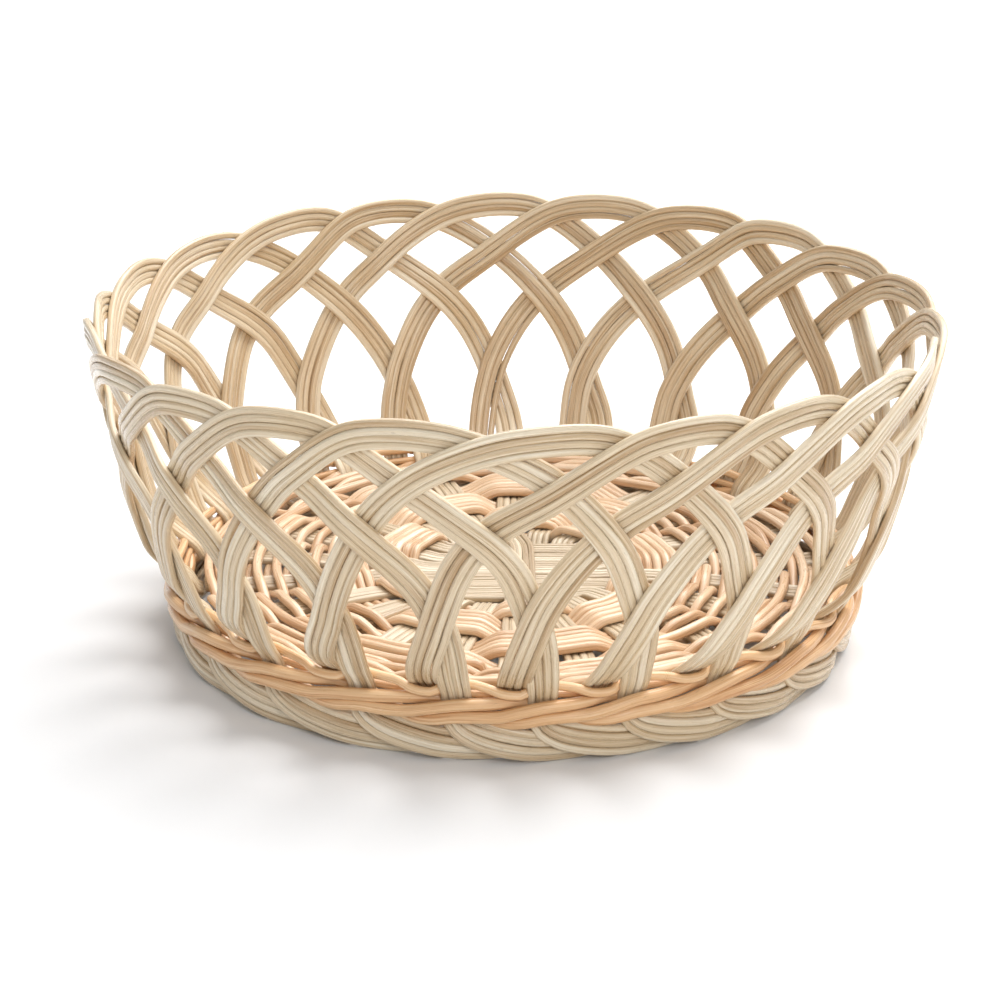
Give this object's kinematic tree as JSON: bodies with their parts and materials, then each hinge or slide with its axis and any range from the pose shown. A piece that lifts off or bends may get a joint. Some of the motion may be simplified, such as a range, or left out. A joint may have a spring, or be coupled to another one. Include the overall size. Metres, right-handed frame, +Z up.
{
  "type": "bread basket",
  "caption": "Round bread basket of plaited willow rods with an openwork wall of interlaced arches, a twined belt and a plaited foot.",
  "frame": {"origin": "middle of the basket at the height of the surface that it stands on", "axes": "+Z up out of the open top; -Y is the side that faces the viewer, +X to the viewer's right"},
  "size_m": [0.2535, 0.2548, 0.1053],
  "materials": {
    "straw": "peeled willow or cane, satin with glossy streaks",
    "peach": "peeled cane with a warm peach tone, satin",
    "spoke": "peeled cane, greyish straw, satin"
  },
  "bodies": {
    "root": {"arch_01": "straw", "arch_02": "straw", "arch_03": "straw", "arch_04": "straw", "arch_05": "straw", "arch_06": "straw", "arch_07": "straw", "arch_08": "straw", "arch_09": "straw", "arch_10": "straw", "arch_11": "straw", "arch_12": "straw", "arch_13": "straw", "arch_14": "straw", "arch_15": "straw", "arch_16": "straw", "arch_17": "straw", "arch_18": "straw", "arch_19": "straw", "arch_20": "straw", "arch_21": "straw", "arch_22": "straw", "wale_strand_1": "peach", "wale_strand_2": "peach", "wale_strand_3": "peach", "upper_row": "peach", "spoke_01": "spoke", "spoke_02": "spoke", "spoke_03": "spoke", "spoke_04": "spoke", "spoke_05": "spoke", "spoke_06": "spoke", "spoke_07": "spoke", "spoke_08": "spoke", "spoke_09": "spoke", "spoke_10": "spoke", "spoke_11": "spoke", "woven_round_1": "peach", "woven_round_2": "peach", "woven_round_3": "peach", "outer_row_1": "peach", "outer_row_2": "peach", "outer_row_3": "peach", "outer_row_4": "peach"}
  },
  "joints": []
}
